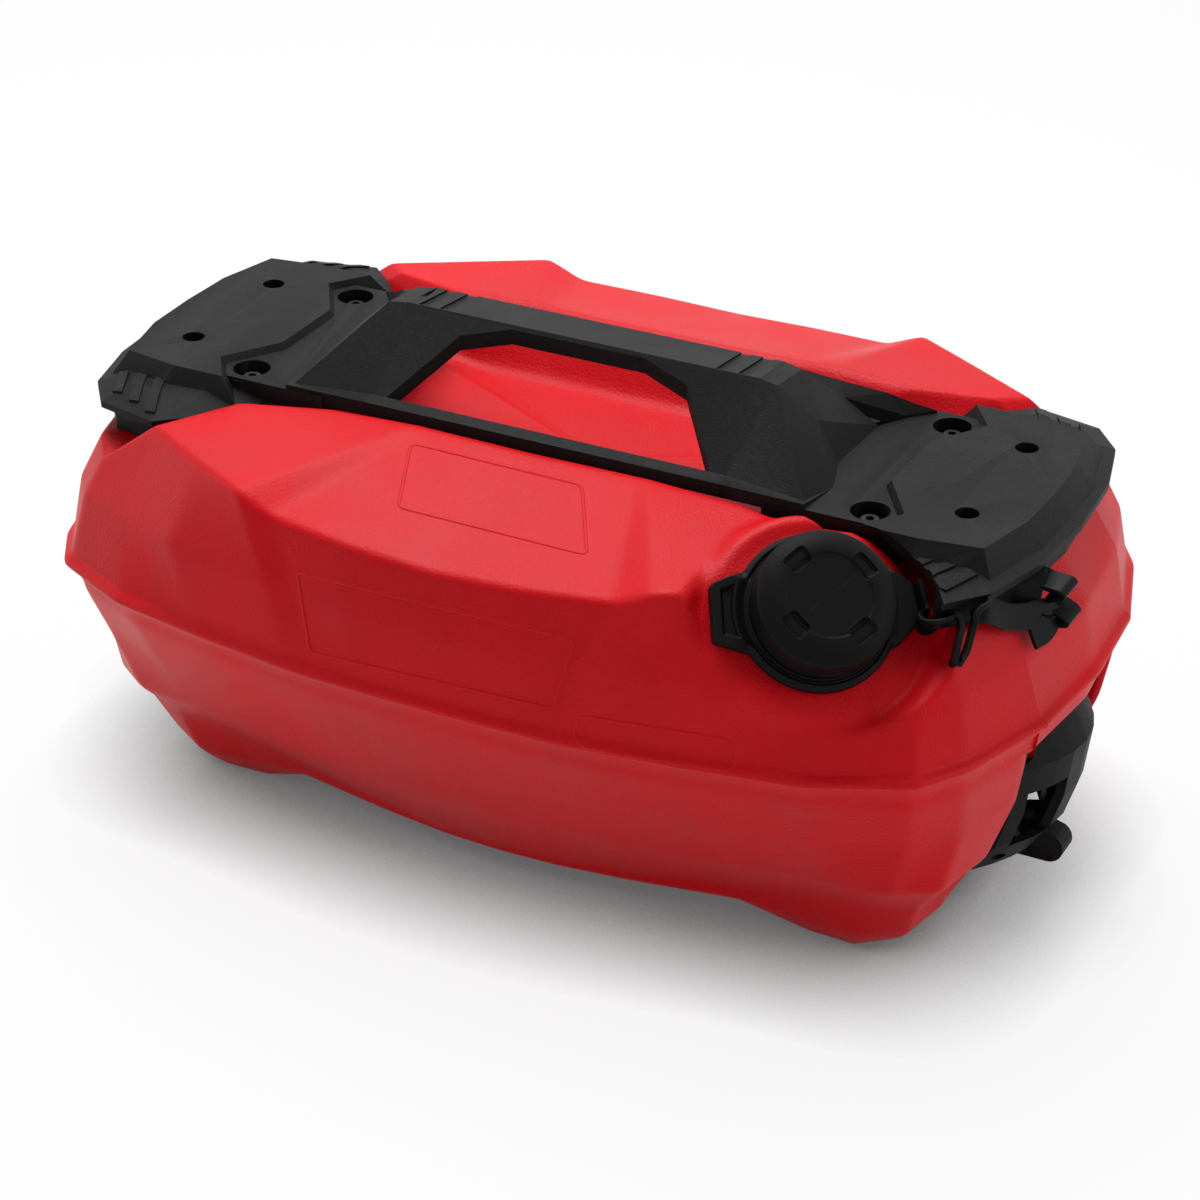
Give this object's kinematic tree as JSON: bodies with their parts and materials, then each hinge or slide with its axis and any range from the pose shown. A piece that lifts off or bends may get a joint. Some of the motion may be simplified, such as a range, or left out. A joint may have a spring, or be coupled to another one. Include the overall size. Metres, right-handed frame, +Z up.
{
  "type": "stackable fuel can",
  "caption": "Stackable plastic fuel can with a bolted carrying deck, an arched handle, a tethered screw cap on a tilted neck and a swing latch at each end.",
  "frame": {"origin": "on the ground, under the middle of the can", "axes": "+X along the can to the cap's end, +Y away from the cap's side, +Z up"},
  "size_m": [0.468, 0.308, 0.227],
  "materials": {
    "red_plastic": "fine grained blow-moulded plastic",
    "black_plastic": "fine grained",
    "black_rubber": "smooth moulded",
    "black_steel": "black oxide",
    "spring_steel": "drawn wire",
    "brass": "turned"
  },
  "bodies": {
    "can": {"tank": "red_plastic", "deck": "black_plastic", "left_front_screw": "black_steel", "left_front_insert": "brass", "left_rear_screw": "black_steel", "left_rear_insert": "brass", "right_front_screw": "black_steel", "right_front_insert": "brass", "right_rear_screw": "black_steel", "right_rear_insert": "brass", "tether_strap": "black_rubber", "tether_rivet": "black_rubber", "right_latch_bracket": "black_plastic", "left_latch_bracket": "black_plastic", "right_latch_pin": "black_steel", "left_latch_pin": "black_steel", "right_latch_spring": "spring_steel", "left_latch_spring": "spring_steel", "right_bracket_front_screw": "black_steel", "left_bracket_front_screw": "black_steel", "right_bracket_rear_screw": "black_steel", "left_bracket_rear_screw": "black_steel"},
    "tether": {"tether_ring": "black_rubber", "tether_stud": "black_rubber"},
    "cap": {"cap_shell": "black_plastic", "cap_core": "black_plastic", "cap_gasket": "black_rubber"},
    "right_lever": {"right_latch_lever": "black_plastic", "right_bail_pin": "black_steel"},
    "right_bail": {"right_latch_bail": "black_plastic"},
    "left_lever": {"left_latch_lever": "black_plastic", "left_bail_pin": "black_steel"},
    "left_bail": {"left_latch_bail": "black_plastic"}
  },
  "joints": [
    {"name": "cap_rise", "type": "slide", "parent": "can", "child": "tether", "axis": [0.4671, -0.5131, 0.7201], "range_m": [0, 0.0075], "deforming": ["tether_strap"]},
    {"name": "cap_turn", "type": "hinge", "parent": "tether", "child": "cap", "pos_m": [0.147, -0.098, 0.1725], "axis": [0.4671, -0.5131, 0.7201], "range_deg": [0, 540]},
    {"name": "right_latch_swing", "type": "hinge", "parent": "can", "child": "right_lever", "pos_m": [0.2155, 0, 0.092], "axis": [0, -1, 0], "range_deg": [0, 60], "stiffness_Nm_per_rad": 0.03, "springref_deg": -22.92},
    {"name": "right_bail_swing", "type": "hinge", "parent": "right_lever", "child": "right_bail", "pos_m": [0.206, 0, 0.039], "axis": [0, -1, 0], "range_deg": [-15, 30]},
    {"name": "left_latch_swing", "type": "hinge", "parent": "can", "child": "left_lever", "pos_m": [-0.2155, 0, 0.092], "axis": [0, 1, 0], "range_deg": [0, 60], "stiffness_Nm_per_rad": 0.03, "springref_deg": -22.92},
    {"name": "left_bail_swing", "type": "hinge", "parent": "left_lever", "child": "left_bail", "pos_m": [-0.206, 0, 0.039], "axis": [0, 1, 0], "range_deg": [-15, 30]}
  ],
  "couplings": [
    {"joint": "cap_turn", "follows": "cap_rise", "rad_per_m": 1256.6}
  ]
}
